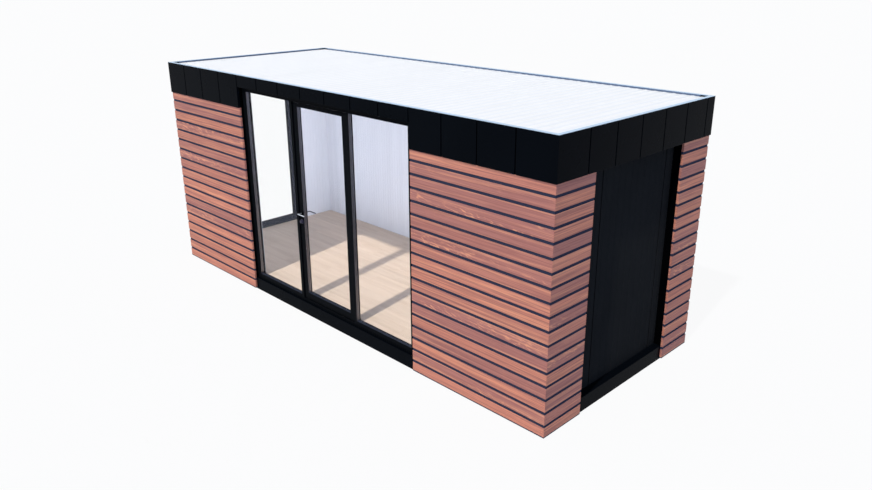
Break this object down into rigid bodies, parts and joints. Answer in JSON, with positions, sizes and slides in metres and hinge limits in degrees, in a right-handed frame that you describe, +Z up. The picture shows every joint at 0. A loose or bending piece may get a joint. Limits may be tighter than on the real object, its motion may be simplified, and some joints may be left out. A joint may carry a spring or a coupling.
{
  "type": "garden office pod",
  "caption": "Flat-roofed garden office pod with boarded corners, a dark cassette fascia, a recessed glazed front with a hinged door, an end window and a hollow room.",
  "frame": {"origin": "centre of the underside, on the ground plane", "axes": "+X along the front to the right as seen from outside, +Y from the glazed front to the back, +Z up"},
  "size_m": [6, 2.4, 2.574],
  "materials": {
    "coal_metal": "satin blue-black powder coat",
    "frame_metal": "satin black coated aluminium",
    "capping_metal": "pale blue-grey coated sheet",
    "white_panel": "cool white micro-lined sheet",
    "roof_sheet": "white ribbed sheet",
    "timber": "salmon-brown stained boards",
    "oak_floor": "pale oak laminate",
    "glass": "clear double glazing",
    "handle_steel": "brushed steel"
  },
  "bodies": {
    "pod": {"base_rails_long": "coal_metal", "base_rails_short": "coal_metal", "floor_deck": "white_panel", "floor_finish": "oak_floor", "floor_edges": "oak_floor", "front_wall_left": "white_panel", "front_wall_right": "white_panel", "left_wall_front": "white_panel", "left_wall_back": "white_panel", "left_wall_over_window": "white_panel", "right_wall_front": "white_panel", "right_wall_back": "white_panel", "right_panel": "coal_metal", "back_wall": "white_panel", "cladding_front_left": "timber", "cladding_front_right": "timber", "cladding_left_front": "timber", "cladding_left_back": "timber", "cladding_right_front": "timber", "cladding_right_back": "timber", "cladding_back": "timber", "fascia_front_left": "coal_metal", "fascia_front_middle": "coal_metal", "fascia_front_right": "coal_metal", "fascia_right": "coal_metal", "fascia_back": "coal_metal", "fascia_left": "coal_metal", "capping_long": "capping_metal", "capping_short": "capping_metal", "parapet_corners": "coal_metal", "roof_panel": "roof_sheet", "ceiling": "white_panel", "front_jambs": "frame_metal", "front_mullions": "frame_metal", "front_head": "frame_metal", "front_sills": "frame_metal", "door_threshold": "frame_metal", "side_panes": "glass", "window_jambs": "frame_metal", "window_rails": "frame_metal", "window_glass": "glass", "hinge_plates_frame": "frame_metal"},
    "door": {"door_stiles": "frame_metal", "door_rails": "frame_metal", "door_glass": "glass", "handle_roses": "handle_steel", "hinge_plates_door": "frame_metal"},
    "handle": {"lever_outside": "handle_steel", "lever_inside": "handle_steel"}
  },
  "joints": [
    {"name": "door_hinge", "type": "hinge", "parent": "pod", "child": "door", "pos_m": [0.4435, -1.062, 1.2825], "axis": [0, 0, -1], "range_deg": [0, 100]},
    {"name": "handle_turn", "type": "hinge", "parent": "door", "child": "handle", "pos_m": [-0.405, -1.128, 1.183], "axis": [0, 1, 0], "range_deg": [0, 40], "stiffness_Nm_per_rad": 0.8, "springref_deg": -28.65}
  ]
}
